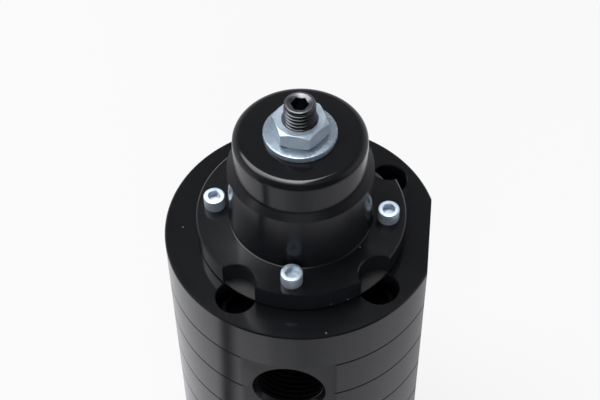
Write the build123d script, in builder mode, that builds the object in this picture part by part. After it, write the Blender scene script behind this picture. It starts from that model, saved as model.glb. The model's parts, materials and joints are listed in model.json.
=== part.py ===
"""Diesel fuel lift pump: a motor-driven gerotor pump with a built-in bypass regulator.

Units are millimetres. The origin is the centre of the base face, +Z is up, +X is the
outward normal of the full-height mounting flat and -Y is the outlet side.
"""

import os
from math import atan2, cos, pi, radians, sin, sqrt, tan

from build123d import *

os.makedirs("parts", exist_ok=True)

# Stack of round housing pieces
body_d = 101.6
base_cap_h = 19.05
motor_h = 76.2
pump_h = 57.15
top_plate_h = 19.05
flat_x = 47.6
port_flat_y = 47.6
ring_pitch = 19.05
ring_depth = 0.5
ring_w = 0.8
edge_chamfer = 0.5
base_chamfer = 1.0

# Fits
press_gap = 0.02
glue_gap = 0.1
run_gap = 0.05
part_gap = 0.3
bolt_gap = 0.3

# Ports, 1-1/16 inch straight thread with a chamfered mouth
port_thread_d = 26.99
port_bore_d = 24.9
port_thread_depth = 23.0
port_below_top = 38.1
gallery_d = 14.0
inlet_gallery_end = -3.0
outlet_gallery_end = -12.0

# Body bolts, 5/16 inch socket head
bolt_d = 7.94
bolt_head_d = 11.9
bolt_head_h = 7.94
bolt_socket = 6.35
bolt_socket_depth = 4.0
bolt_r = 40.0
bolt_angles = (-120, -40, 40, 120)
bolt_bore_d = 14.29
body_bolt_len = 82.55
body_bolt_sink = 14.3
base_screw_len = 22.2
base_screw_sink = 9.5
base_screw_tap_depth = 14.0
body_bolt_tap_depth = 26.0

# Bonnet over the regulator spring
flange_r = 38.6
flange_t = 8.0
neck_r = 26.2
neck_h = 26.8
neck_cone_h = 1.8
cap_r = 23.75
cap_h = 14.55
cap_fillet = 3.0
bonnet_bore_r = 18.5
bonnet_roof = 10.0
neck_fillet = 0.6
notch_r = 7.5
flange_screw_d = 4.83
flange_screw_head_d = 7.92
flange_screw_head_h = 4.83
flange_screw_socket = 3.97
flange_screw_socket_depth = 2.4
flange_screw_len = 19.05
flange_screw_r = 32.0
head_chamfer_share = 0.06
tip_chamfer_share = 0.1

# Adjusting screw, washer and jam nut, 7/16 inch
screw_d = 11.11
screw_len = 31.75
screw_socket = 5.56
screw_socket_depth = 6.35
screw_chamfer = 0.8
screw_above_nut = 7.65
washer_d = 26.0
washer_gap = 0.395
washer_t = 1.8
nut_flats = 17.46
nut_h = 6.35
nut_turn = -6.0
nut_chamfer = 0.5

# Diaphragm and bypass valve
diaphragm_t = 0.8
chamber_r = 18.5
chamber_depth = 7.0
lower_plate_r = 14.0
lower_plate_t = 1.6
spring_cup_r = 16.6
spring_cup_t = 2.0
spring_cup_rim = 1.2
spring_cup_h = 5.0
stem_d = 5.0
stem_head_r = 6.5
stem_head_t = 2.4
stem_tail = 1.5
stem_nut_flats = 10.0
stem_nut_h = 4.0
valve_disc_r = 4.6
valve_disc_t = 1.6
seat_lip_r = 3.6
seat_bore_d = 5.0
seat_body_d = 10.0
seat_collar_d = 13.0
seat_collar_t = 2.0
seat_len = 12.0
valve_lift = 1.5
spring_wire = 3.0
spring_turns = 5.0
button_r = 15.6
button_t = 4.0
button_spigot_h = 3.0
feed_hole_d = 5.0
feed_hole_r = 15.5
return_hole_d = 7.0

# Gerotor set
inner_teeth = 6
eccentricity = 2.2
lobe_circle_r = 24.0
lobe_r = 7.5
rotor_gap = 0.06
rotor_h = 12.7
outer_rotor_r = 25.4
wear_plate_margin = 1.9
wear_plate_t = 6.35
kidney_r = 17.0
kidney_w = 6.0
kidney_depth = 3.0
kidney_span = 120.0

# Motor
motor_bore_r = 33.0
web_t = 6.3
seal_bore_r = 8.0
seal_t = 5.0
shaft_clear = 1.0
shaft_d = 8.0
shaft_below_top = 0.5
key_w = 2.4
key_len = 10.0
bushing_r = 6.0
ring_wall = 3.0
ring_len = 42.0
magnet_t = 6.4
magnet_len = 36.0
magnet_span = 140.0
air_gap = 0.9
core_len = 32.0
core_slots = 12
slot_root_r = 11.0
slot_lip = 2.4
slot_mouth_w = 1.6
slot_overcut = 0.2
tooth_w = 3.2
winding_gap = 0.25
winding_side_slack = 0.75
winding_depth_slack = 1.0
winding_overhang = 4.5
winding_round = 1.7
core_above_base = 49.0
commutator_r = 11.0
commutator_len = 13.0
commutator_slit = 0.5
commutator_slit_depth = 1.2
commutator_hub_r = 6.5
brush_w = 8.0
brush_h = 6.0
brush_len = 12.0
brush_spring_len = 4.5
brush_spring_wire = 0.6
brush_spring_turns = 3.0
holder_wall = 1.0
holder_clear = 1.5
brush_plate_t = 3.0
brush_plate_bore_r = 12.6
spigot_h = 8.0
thrust_washer_r = 7.0
thrust_washer_t = 1.0

# Seals between the housing pieces
face_seal_r = 32.5
face_seal_cord = 2.0
face_groove_w = 2.6
seal_corner = 0.5
spigot_groove_w = 2.6

# Electric terminals on the back
terminal_x = 12.7
terminal_above_base = 38.0
terminal_d = 5.0
terminal_shank_d = 6.0
terminal_shoulder = 0.3
terminal_head_r = 4.2
terminal_head_t = 2.0
terminal_out = 20.0
insulator_sleeve_r = 4.5
insulator_flange_r = 8.0
insulator_flange_t = 3.0
insulator_inner_y = 25.5
terminal_nut_flats = 10.0
terminal_nut_h = 4.0
terminal_washer_r = 6.0
terminal_washer_t = 1.0
terminal_pad_w = 46.0
terminal_pad_h = 20.0
terminal_pad_corner = 3.0

# Tapped holes in the mounting flat, 5/16 inch
mount_hole_d = 7.94
mount_hole_depth = 12.0
mount_hole_y = 12.7
mount_hole_rows = (47.6, 123.8)

# Heights that follow from the stack
body_r = body_d / 2
z_motor = base_cap_h
z_pump = z_motor + motor_h
z_plate = z_pump + pump_h
z_top = z_plate + top_plate_h
z_port = z_top - port_below_top
z_rotor = z_pump + wear_plate_t
z_kidney = z_rotor + rotor_h
z_flange = z_top + diaphragm_t
z_flange_top = z_flange + flange_t
z_ledge = z_flange_top + neck_h
z_cap = z_ledge + cap_h
z_washer = z_cap + washer_t
z_nut = z_washer + nut_h
z_screw = z_nut + screw_above_nut
z_button = z_screw - screw_len
z_roof = z_cap - bonnet_roof
z_chamber = z_top - chamber_depth
z_spring = z_flange + spring_cup_t
z_core = core_above_base
z_spigot = z_motor + spigot_h
z_web = z_pump - web_t
z_brush = z_spigot + brush_plate_t
z_commutator = z_brush + holder_wall / 2
outer_teeth = inner_teeth + 1

# Radii that follow from the pieces around them
diaphragm_r = flange_r - part_gap
rotor_tip_r = lobe_circle_r - lobe_r + eccentricity
wear_plate_r = outer_rotor_r + eccentricity + wear_plate_margin
magnet_r = motor_bore_r - ring_wall - glue_gap
core_r = magnet_r - magnet_t - air_gap
slot_mouth_r = core_r - slot_lip


def spots(radius, angles):
    """Points on a circle about the pump axis."""
    return [(radius * cos(radians(a)), radius * sin(radians(a))) for a in angles]


bolt_spots = spots(bolt_r, bolt_angles)
flange_screw_spots = spots(flange_screw_r, (0, 90, 180, 270))
terminal_spots = [(-terminal_x, terminal_above_base), (terminal_x, terminal_above_base)]
ring_heights = [z_top - n * ring_pitch for n in range(1, int(z_top / ring_pitch) + 1)]


def save(node, name):
    """Label a finished piece and write it to its own file."""
    node.part.label = name
    export_step(node.part, f"parts/{name}.step")


def ring_grooves(z_low, z_high):
    """Cut the shallow turned rings that lie on one housing piece."""
    for z in ring_heights:
        if z_low - ring_w < z < z_high + ring_w:
            with BuildSketch(Plane.XZ) as groove:
                with BuildLine():
                    Polyline(
                        (body_r - ring_depth, z),
                        (body_r + ring_w, z - ring_w / 2 - ring_w),
                        (body_r + ring_w, z + ring_w / 2 + ring_w),
                        close=True,
                    )
                make_face()
            revolve(groove.sketch, axis=Axis.Z, mode=Mode.SUBTRACT)


def cut_flat(plane, z_low, z_high):
    """Mill a vertical flat whose outward normal is the plane's normal."""
    with BuildSketch(plane) as waste:
        with Locations((0, (z_low + z_high) / 2)):
            Rectangle(body_d, z_high - z_low)
    extrude(waste.sketch, amount=body_r, mode=Mode.SUBTRACT)


def side_plane(distance, angle):
    """A vertical plane facing out from the axis, its local y pointing up."""
    out = (cos(radians(angle)), sin(radians(angle)), 0)
    across = (-sin(radians(angle)), cos(radians(angle)), 0)
    return Plane(origin=[distance * c for c in out], x_dir=across, z_dir=out)


mount_face = side_plane(flat_x, 0)
back_face = side_plane(port_flat_y, 90)
front_face = side_plane(port_flat_y, -90)


def mounting_holes(z_low, z_high):
    """Drill the tapped holes of the mounting flat that fall on one piece."""
    for z in mount_hole_rows:
        if z_low < z < z_high:
            with BuildSketch(mount_face) as drill:
                with Locations((-mount_hole_y, z), (mount_hole_y, z)):
                    Circle(mount_hole_d / 2)
            extrude(drill.sketch, amount=-mount_hole_depth, mode=Mode.SUBTRACT)


def holes(z_from, depth, radius, points):
    """Drill round holes downward from a level."""
    with BuildSketch(Plane.XY.offset(z_from)) as drill:
        with Locations(*points):
            Circle(radius)
    extrude(drill.sketch, amount=-depth, mode=Mode.SUBTRACT)


def disc(z_low, height, radius, hole_r=0):
    """Add a round disc or ring about the pump axis."""
    with BuildSketch(Plane.XY.offset(z_low)) as section:
        Circle(radius)
        if hole_r:
            Circle(hole_r, mode=Mode.SUBTRACT)
    extrude(section.sketch, amount=height)


def bore(z_low, height, radius):
    """Cut a round bore about the pump axis."""
    with BuildSketch(Plane.XY.offset(z_low)) as section:
        Circle(radius)
    extrude(section.sketch, amount=height, mode=Mode.SUBTRACT)


def face_groove(z_face, depth):
    """Cut the groove of a face seal upward (depth over 0) or downward."""
    with BuildSketch(Plane.XY.offset(z_face)) as groove:
        Circle(face_seal_r + face_groove_w / 2)
        Circle(face_seal_r - face_groove_w / 2, mode=Mode.SUBTRACT)
    extrude(groove.sketch, amount=depth, mode=Mode.SUBTRACT)


def circles_at(z):
    """Round edges at one height, the smallest first."""
    level = edges().filter_by(GeomType.CIRCLE).filter_by_position(Axis.Z, z - part_gap, z + part_gap)
    return level.sort_by(SortBy.RADIUS)


def cap_screws(points, z_seat, length, shank, head_d, head_h, socket, socket_depth, up=1):
    """Socket head cap screws under one node; up is -1 where the heads look down."""
    with BuildSketch(Plane.XY.offset(z_seat)) as heads:
        with Locations(*points):
            Circle(head_d / 2)
    extrude(heads.sketch, amount=up * head_h)
    rim = faces().filter_by(Plane.XY).group_by(Axis.Z)[-1 if up > 0 else 0]
    chamfer(rim.edges(), head_d * head_chamfer_share)
    with BuildSketch(Plane.XY.offset(z_seat)) as shanks:
        with Locations(*points):
            Circle(shank / 2)
    extrude(shanks.sketch, amount=-up * length)
    tip = faces().filter_by(Plane.XY).group_by(Axis.Z)[0 if up > 0 else -1]
    chamfer(tip.edges(), shank * tip_chamfer_share)
    with BuildSketch(Plane.XY.offset(z_seat + up * head_h)) as sockets:
        with Locations(*points):
            RegularPolygon(socket / 2, 6, major_radius=False)
    extrude(sockets.sketch, amount=-up * socket_depth, mode=Mode.SUBTRACT)


def hex_nut(z_low, height, flats, bore_d, corner_cut, turn=0):
    """Hexagon nut about the pump axis, its corners turned down on both faces."""
    with BuildSketch(Plane.XY.offset(z_low)) as hexagon:
        RegularPolygon(flats / 2, 6, major_radius=False, rotation=turn)
        Circle(bore_d / 2, mode=Mode.SUBTRACT)
    extrude(hexagon.sketch, amount=height)
    corner = flats / sqrt(3)
    with BuildSketch(Plane.XZ) as turned:
        with BuildLine():
            Polyline(
                (0, z_low),
                (corner - 2 * corner_cut, z_low),
                (corner, z_low + corner_cut),
                (corner, z_low + height - corner_cut),
                (corner - 2 * corner_cut, z_low + height),
                (0, z_low + height),
                close=True,
            )
        make_face()
    revolve(turned.sketch, axis=Axis.Z, mode=Mode.INTERSECT)


def coil_spring(plane, radius, wire, length, turns):
    """Round-wire compression spring of a given length along a plane's normal."""
    rise = length - wire
    start = plane.offset(wire / 2)
    with BuildLine() as path:
        Helix(rise / turns, rise, radius, center=start.origin, direction=start.z_dir)
    with BuildSketch(path.line ^ 0) as section:
        Circle(wire / 2)
    sweep(section.sketch, path=path.line, is_frenet=True)


# Base cap, with a spigot that centres it in the motor housing and carries the lower bushing
with BuildPart() as base_cap:
    disc(0, base_cap_h, body_r)
    chamfer(edges().group_by(Axis.Z)[0], base_chamfer)
    disc(z_motor, spigot_h, motor_bore_r - press_gap)
    with BuildSketch(Plane.XZ):
        with Locations((motor_bore_r, z_motor + spigot_h / 2)):
            Rectangle(2 * face_seal_cord, spigot_groove_w)
    revolve(axis=Axis.Z, mode=Mode.SUBTRACT)
    bore(base_cap_h / 2, z_spigot, bushing_r + press_gap)
    holes(base_screw_sink, base_screw_sink, bolt_bore_d / 2, bolt_spots)
    holes(base_cap_h, base_cap_h, bolt_d / 2 + bolt_gap, bolt_spots)
    ring_grooves(0, base_cap_h)
    cut_flat(mount_face, 0, base_cap_h)
save(base_cap, "base_cap")

with BuildPart() as base_screws:
    cap_screws(bolt_spots, base_screw_sink, base_screw_len, bolt_d, bolt_head_d, bolt_head_h,
               bolt_socket, bolt_socket_depth, up=-1)
save(base_screws, "base_screws")

# Motor housing: a bored tube closed at the top by a web that holds the shaft seal
with BuildPart() as motor_housing:
    disc(z_motor, motor_h, body_r)
    bore(z_motor, z_web - z_motor, motor_bore_r)
    bore(z_web, seal_t, seal_bore_r + press_gap)
    bore(z_web, web_t, shaft_d / 2 + shaft_clear)
    holes(z_pump, body_bolt_tap_depth, bolt_d / 2 + run_gap, bolt_spots)
    holes(z_motor + base_screw_tap_depth, base_screw_tap_depth, bolt_d / 2 + run_gap, bolt_spots)
    ring_grooves(z_motor, z_pump)
    cut_flat(mount_face, z_motor, z_pump)
    with BuildSketch(back_face):
        with Locations((0, terminal_above_base)):
            RectangleRounded(terminal_pad_w, terminal_pad_h, terminal_pad_corner)
    extrude(amount=body_r, mode=Mode.SUBTRACT)
    with BuildSketch(back_face):
        with Locations(*terminal_spots):
            Circle(insulator_sleeve_r + press_gap)
    extrude(amount=-(port_flat_y - insulator_inner_y), mode=Mode.SUBTRACT)
    mounting_holes(z_motor, z_pump)
save(motor_housing, "motor_housing")

# Pump housing: gerotor pocket and wear plate seat below, ports and galleries above
with BuildPart() as pump_housing:
    disc(z_pump, pump_h, body_r)
    bore(z_pump, wear_plate_t, wear_plate_r + press_gap)
    with BuildSketch(Plane.XY.offset(z_rotor)):
        with Locations((eccentricity, 0)):
            Circle(outer_rotor_r + run_gap)
    extrude(amount=rotor_h, mode=Mode.SUBTRACT)
    for middle in (90, -90):
        with BuildSketch(Plane.XY.offset(z_kidney)):
            SlotArc(CenterArc((0, 0), kidney_r, middle - kidney_span / 2, kidney_span), kidney_w)
        extrude(amount=kidney_depth, mode=Mode.SUBTRACT)
    holes(z_port, z_port - z_kidney, kidney_w / 2, spots(kidney_r, (90, -90)))
    for face, gallery_end in ((back_face, inlet_gallery_end), (front_face, -outlet_gallery_end)):
        with BuildSketch(face):
            with Locations((0, z_port)):
                Circle(port_bore_d / 2)
        extrude(amount=-port_thread_depth, mode=Mode.SUBTRACT)
        with BuildSketch(face):
            with Locations((0, z_port)):
                Circle(gallery_d / 2)
        extrude(amount=-(port_flat_y - gallery_end), mode=Mode.SUBTRACT)
    holes(z_plate, z_plate - z_port, return_hole_d / 2, [(0, 0)])
    holes(z_plate, z_plate - z_port, feed_hole_d / 2, spots(feed_hole_r, (-90,)))
    holes(z_plate, pump_h, bolt_d / 2 + bolt_gap, bolt_spots)
    face_groove(z_plate, -face_seal_cord)
    face_groove(z_pump, face_seal_cord)
    ring_grooves(z_pump, z_plate)
    cut_flat(mount_face, z_pump, z_plate)
    cut_flat(front_face, z_pump, z_plate)
    cut_flat(back_face, z_pump, z_plate)
    mouth = edges().filter_by(GeomType.CIRCLE).filter_by(
        lambda e: abs(e.radius - port_bore_d / 2) < 0.01 and abs(abs(e.center().Y) - port_flat_y) < 0.01
    )
    chamfer(mouth, (port_thread_d - port_bore_d) / 2)
    mounting_holes(z_pump, z_plate)
save(pump_housing, "pump_housing")

# Top plate: diaphragm chamber, valve seat bore and the sunk body bolts
with BuildPart() as top_plate:
    disc(z_plate, top_plate_h, body_r)
    chamfer(edges().group_by(Axis.Z)[-1], edge_chamfer)
    bore(z_chamber, chamber_depth, chamber_r)
    bore(z_chamber - seat_collar_t, seat_collar_t, seat_collar_d / 2 + press_gap)
    bore(z_plate, top_plate_h, seat_body_d / 2 + press_gap)
    holes(z_chamber, z_chamber - z_plate, feed_hole_d / 2, spots(feed_hole_r, (-90,)))
    holes(z_top, body_bolt_sink, bolt_bore_d / 2, bolt_spots)
    holes(z_top, top_plate_h, bolt_d / 2 + bolt_gap, bolt_spots)
    holes(z_top, flange_screw_len - flange_t, flange_screw_d / 2 + run_gap, flange_screw_spots)
    ring_grooves(z_plate, z_top)
    cut_flat(mount_face, z_plate, z_top)
save(top_plate, "top_plate")

with BuildPart() as body_bolts:
    cap_screws(bolt_spots, z_top - body_bolt_sink, body_bolt_len, bolt_d, bolt_head_d, bolt_head_h,
               bolt_socket, bolt_socket_depth)
save(body_bolts, "body_bolts")

# Bonnet: flange, neck with a short cone up to a narrower cap, which the adjusting screw passes
with BuildPart() as bonnet:
    with BuildSketch(Plane.XZ):
        with BuildLine():
            Polyline(
                (0, z_flange),
                (flange_r, z_flange),
                (flange_r, z_flange_top),
                (neck_r, z_flange_top),
                (neck_r, z_ledge - neck_cone_h),
                (cap_r, z_ledge),
                (cap_r, z_cap),
                (0, z_cap),
                close=True,
            )
        make_face()
    revolve(axis=Axis.Z)
    fillet(edges().group_by(Axis.Z)[-1], cap_fillet)
    fillet(circles_at(z_flange_top)[0], neck_fillet)
    chamfer(circles_at(z_flange_top)[-1], edge_chamfer)
    bore(z_flange, z_roof - z_flange, bonnet_bore_r)
    bore(z_roof, bonnet_roof, screw_d / 2 + run_gap)
    holes(z_flange_top, flange_t, notch_r, bolt_spots)
    holes(z_flange_top, flange_t, flange_screw_d / 2 + bolt_gap, flange_screw_spots)
save(bonnet, "bonnet")

with BuildPart() as flange_screws:
    cap_screws(flange_screw_spots, z_flange_top, flange_screw_len, flange_screw_d, flange_screw_head_d,
               flange_screw_head_h, flange_screw_socket, flange_screw_socket_depth)
save(flange_screws, "flange_screws")

with BuildPart() as flat_washer:
    disc(z_cap, washer_t, washer_d / 2, screw_d / 2 + washer_gap)
save(flat_washer, "flat_washer")

with BuildPart() as jam_nut:
    hex_nut(z_washer, nut_h, nut_flats, screw_d + 2 * run_gap, nut_chamfer, nut_turn)
save(jam_nut, "jam_nut")

with BuildPart() as adjusting_screw:
    disc(z_button, screw_len, screw_d / 2)
    chamfer(edges(), screw_chamfer)
    with BuildSketch(Plane.XY.offset(z_screw)):
        RegularPolygon(screw_socket / 2, 6, major_radius=False)
    extrude(amount=-screw_socket_depth, mode=Mode.SUBTRACT)
save(adjusting_screw, "adjusting_screw")

# Button that the screw presses on the spring
with BuildPart() as spring_button:
    disc(z_button - button_t, button_t, button_r)
    chamfer(edges().group_by(Axis.Z)[-1], edge_chamfer)
    disc(z_button - button_t - button_spigot_h, button_spigot_h, button_r - spring_wire - 2 * part_gap)
save(spring_button, "spring_button")

spring_r = spring_cup_r - spring_cup_rim - part_gap - spring_wire / 2
with BuildPart() as regulator_spring:
    coil_spring(Plane.XY.offset(z_spring), spring_r, spring_wire, z_button - button_t - z_spring, spring_turns)
save(regulator_spring, "regulator_spring")

with BuildPart() as diaphragm:
    disc(z_top, diaphragm_t, diaphragm_r, stem_d / 2 + press_gap)
    holes(z_flange, diaphragm_t, flange_screw_d / 2 + bolt_gap, flange_screw_spots)
save(diaphragm, "diaphragm")

with BuildPart() as spring_cup:
    disc(z_flange, spring_cup_t, spring_cup_r, stem_d / 2 + press_gap)
    disc(z_spring, spring_cup_h - spring_cup_t, spring_cup_r, spring_cup_r - spring_cup_rim)
save(spring_cup, "spring_cup")

with BuildPart() as lower_plate:
    disc(z_top - lower_plate_t, lower_plate_t, lower_plate_r, stem_d / 2 + press_gap)
    fillet(edges().group_by(Axis.Z)[0].sort_by(SortBy.RADIUS)[-1], lower_plate_t / 2)
save(lower_plate, "lower_plate")

# Stem that clamps cup, diaphragm and plate, with a pocket for the valve disc in its head
z_stem_head = z_top - lower_plate_t - stem_head_t
with BuildPart() as valve_stem:
    disc(z_stem_head, stem_head_t, stem_head_r)
    disc(z_top - lower_plate_t, lower_plate_t + diaphragm_t + spring_cup_t + stem_nut_h + stem_tail, stem_d / 2)
    bore(z_stem_head, valve_disc_t / 2, valve_disc_r + press_gap)
save(valve_stem, "valve_stem")

with BuildPart() as stem_nut:
    hex_nut(z_spring, stem_nut_h, stem_nut_flats, stem_d + 2 * press_gap, nut_chamfer / 2)
save(stem_nut, "stem_nut")

with BuildPart() as valve_disc:
    disc(z_stem_head - valve_disc_t / 2, valve_disc_t, valve_disc_r)
save(valve_disc, "valve_disc")

# Valve seat, its collar on the chamber floor and a raised lip under the valve disc
z_lip = z_stem_head - valve_disc_t / 2 - press_gap
with BuildPart() as valve_seat:
    disc(z_chamber - seat_len, seat_len - seat_collar_t, seat_body_d / 2)
    disc(z_chamber - seat_collar_t, seat_collar_t, seat_collar_d / 2)
    with BuildSketch(Plane.XY.offset(z_chamber)):
        Circle(seat_body_d / 2)
    with BuildSketch(Plane.XY.offset(z_lip)):
        Circle(seat_lip_r)
    loft()
    bore(z_chamber - seat_len, 2 * seat_len, seat_bore_d / 2)
save(valve_seat, "valve_seat")

# Wear plate and bushing under the rotors
with BuildPart() as wear_plate:
    disc(z_pump, wear_plate_t, wear_plate_r, bushing_r + press_gap)
save(wear_plate, "wear_plate")

with BuildPart() as upper_bushing:
    disc(z_pump, wear_plate_t, bushing_r, shaft_d / 2 + run_gap)
save(upper_bushing, "upper_bushing")

with BuildPart() as shaft_seal:
    disc(z_web, seal_t, seal_bore_r, shaft_d / 2 + run_gap)
save(shaft_seal, "shaft_seal")

with BuildPart() as lower_bushing:
    disc(base_cap_h / 2, z_spigot - base_cap_h / 2, bushing_r, shaft_d / 2 + run_gap)
save(lower_bushing, "lower_bushing")


def inner_rotor_point(t):
    """Point of the inner rotor's outline, the inner offset of an epitrochoid."""
    ratio = lobe_circle_r / (eccentricity * outer_teeth)
    lean = atan2(sin(inner_teeth * t), ratio - cos(inner_teeth * t))
    reach = lobe_r + rotor_gap
    x = lobe_circle_r * cos(t) - reach * cos(t - lean) - eccentricity * cos(outer_teeth * t)
    y = lobe_circle_r * sin(t) - reach * sin(t - lean) - eccentricity * sin(outer_teeth * t)
    return (x, y)


arcs_per_tooth = 8
arc_step = pi / (inner_teeth * arcs_per_tooth)
with BuildPart() as inner_rotor:
    with BuildSketch(Plane.XY.offset(z_rotor + run_gap)):
        with BuildLine():
            for n in range(0, 2 * inner_teeth * arcs_per_tooth, 2):
                ThreePointArc(*[inner_rotor_point((n + k) * arc_step) for k in range(3)])
        make_face()
        Circle(shaft_d / 2 + press_gap, mode=Mode.SUBTRACT)
        with Locations((0, shaft_d / 2)):
            Rectangle(key_w + 2 * press_gap, key_w, mode=Mode.SUBTRACT)
    extrude(amount=rotor_h - 2 * run_gap)
save(inner_rotor, "inner_rotor")

with BuildPart() as outer_rotor:
    with BuildSketch(Plane.XY.offset(z_rotor + run_gap)):
        with Locations((eccentricity, 0)):
            Circle(outer_rotor_r)
            Circle(rotor_tip_r + eccentricity + rotor_gap, mode=Mode.SUBTRACT)
            with PolarLocations(lobe_circle_r, outer_teeth, start_angle=180):
                Circle(lobe_r)
            Circle(outer_rotor_r, mode=Mode.INTERSECT)
    extrude(amount=rotor_h - 2 * run_gap)
save(outer_rotor, "outer_rotor")

z_shaft_top = z_kidney - shaft_below_top
with BuildPart() as shaft:
    disc(base_cap_h / 2 + part_gap, z_shaft_top - base_cap_h / 2 - part_gap, shaft_d / 2)
    chamfer(edges(), edge_chamfer)
    with BuildSketch(Plane.XY.offset(z_shaft_top)):
        with Locations((0, shaft_d / 2)):
            Rectangle(key_w + 2 * press_gap, key_w)
    extrude(amount=-(key_len + press_gap), mode=Mode.SUBTRACT)
save(shaft, "shaft")

with BuildPart() as rotor_key:
    with BuildSketch(Plane.XY.offset(z_shaft_top - key_len)):
        with Locations((0, shaft_d / 2)):
            Rectangle(key_w, key_w - 2 * press_gap)
    extrude(amount=key_len)
save(rotor_key, "rotor_key")


# Armature: slotted core with teeth of even width, windings with their end turns, and commutator
slot_side = 90 - 180 / core_slots
slot_w = 2 * slot_mouth_r * tan(radians(180 / core_slots)) - tooth_w
with BuildPart() as armature_core:
    disc(z_core, core_len, core_r, shaft_d / 2 + press_gap)
    with BuildSketch(Plane.XY.offset(z_core)):
        with PolarLocations((slot_root_r + slot_mouth_r) / 2, core_slots):
            Trapezoid(slot_w, slot_mouth_r - slot_root_r, slot_side, rotation=90)
        with PolarLocations(core_r, core_slots):
            Rectangle(2 * (core_r - slot_mouth_r + slot_overcut), slot_mouth_w)
    extrude(amount=core_len, mode=Mode.SUBTRACT)
save(armature_core, "armature_core")

with BuildPart() as armature_winding:
    end_h = winding_overhang - winding_gap
    for z in (z_core - winding_overhang, z_core + core_len + winding_gap):
        disc(z, end_h, slot_mouth_r, slot_root_r)
    fillet(edges().group_by(Axis.Z)[-1], winding_round)
    fillet(edges().group_by(Axis.Z)[0], winding_round)
    with BuildSketch(Plane.XY.offset(z_core - winding_overhang / 2)):
        with PolarLocations((slot_root_r + slot_mouth_r) / 2, core_slots):
            Trapezoid(
                slot_w - winding_side_slack,
                slot_mouth_r - slot_root_r - winding_depth_slack,
                slot_side,
                rotation=90,
            )
    extrude(amount=core_len + winding_overhang)
save(armature_winding, "armature_winding")

z_hub = z_spigot + thrust_washer_t
with BuildPart() as commutator:
    disc(z_commutator, commutator_len, commutator_r, shaft_d / 2 + press_gap)
    disc(z_hub, z_commutator - z_hub, commutator_hub_r, shaft_d / 2 + press_gap)
    with BuildSketch(Plane.XY.offset(z_commutator)):
        with PolarLocations(commutator_r, core_slots):
            Rectangle(2 * commutator_slit_depth, commutator_slit)
    extrude(amount=commutator_len, mode=Mode.SUBTRACT)
save(commutator, "commutator")

with BuildPart() as thrust_washer:
    disc(z_spigot, thrust_washer_t, thrust_washer_r, shaft_d / 2 + run_gap)
save(thrust_washer, "thrust_washer")

# Field: steel flux ring with two arc magnets
z_field = z_core + core_len / 2
with BuildPart() as flux_ring:
    disc(z_field - ring_len / 2, ring_len, motor_bore_r - press_gap, motor_bore_r - ring_wall)
save(flux_ring, "flux_ring")

for number, middle in ((1, 0), (2, 180)):
    with BuildPart() as magnet:
        with BuildSketch(Plane.XY.offset(z_field - magnet_len / 2)):
            with BuildLine():
                a0, a1 = middle - magnet_span / 2, magnet_span
                outer = CenterArc((0, 0), magnet_r, a0, a1)
                inner = CenterArc((0, 0), magnet_r - magnet_t, a0, a1)
                Line(outer @ 0, inner @ 0)
                Line(outer @ 1, inner @ 1)
            make_face()
        extrude(amount=magnet_len)
    save(magnet, f"magnet_{number}")

# Brush gear on an insulating plate over the spigot
with BuildPart() as brush_plate:
    disc(z_spigot, brush_plate_t, motor_bore_r - part_gap, brush_plate_bore_r)
save(brush_plate, "brush_plate")

brush_in = commutator_r + press_gap
brush_out = brush_in + brush_len
holder_in = commutator_r + holder_clear
holder_out = brush_out + brush_spring_len + holder_wall
z_brush_mid = z_brush + holder_wall + press_gap + brush_h / 2
for number, angle in ((1, 0), (2, 180)):
    with BuildPart() as brush_holder:
        with BuildSketch(side_plane(holder_in, angle)):
            with Locations((0, z_brush_mid)):
                Rectangle(brush_w + 2 * holder_wall + 2 * press_gap, brush_h + 2 * holder_wall + 2 * press_gap)
        extrude(amount=holder_out - holder_in)
        with BuildSketch(side_plane(holder_in, angle)):
            with Locations((0, z_brush_mid)):
                Rectangle(brush_w + 2 * press_gap, brush_h + 2 * press_gap)
        extrude(amount=holder_out - holder_in - holder_wall, mode=Mode.SUBTRACT)
    save(brush_holder, f"brush_holder_{number}")

    with BuildPart() as brush:
        with BuildSketch(side_plane(0, angle)):
            with Locations((0, z_brush_mid)):
                Rectangle(brush_w, brush_h)
        extrude(amount=brush_out)
        bore(z_brush, 2 * brush_h, brush_in)
    save(brush, f"brush_{number}")

    with BuildPart() as brush_spring:
        spring_face = side_plane(brush_out + press_gap, angle)
        middle_plane = Plane(spring_face.origin + Vector(0, 0, z_brush_mid), spring_face.x_dir, spring_face.z_dir)
        coil_spring(middle_plane, brush_h / 2 - brush_spring_wire, brush_spring_wire,
                    brush_spring_len - 2 * press_gap, brush_spring_turns)
    save(brush_spring, f"brush_spring_{number}")

# Seals: two face rings and one on the spigot
for name, z_low in (("plate_seal", z_plate - face_seal_cord), ("pump_seal", z_pump)):
    with BuildPart() as face_seal:
        with BuildSketch(Plane.XZ) as squeezed:
            with Locations((face_seal_r, z_low + face_seal_cord / 2)):
                Rectangle(face_groove_w - 2 * press_gap, face_seal_cord)
            chamfer(squeezed.vertices(), seal_corner)
        revolve(axis=Axis.Z)
    save(face_seal, name)

with BuildPart() as base_seal:
    with BuildSketch(Plane.XZ) as squeezed:
        with Locations((motor_bore_r - face_seal_cord / 2 - press_gap, z_motor + spigot_h / 2)):
            Rectangle(face_seal_cord - 2 * press_gap, spigot_groove_w - 2 * press_gap)
        chamfer(squeezed.vertices(), seal_corner)
    revolve(axis=Axis.Z)
save(base_seal, "base_seal")

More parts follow.
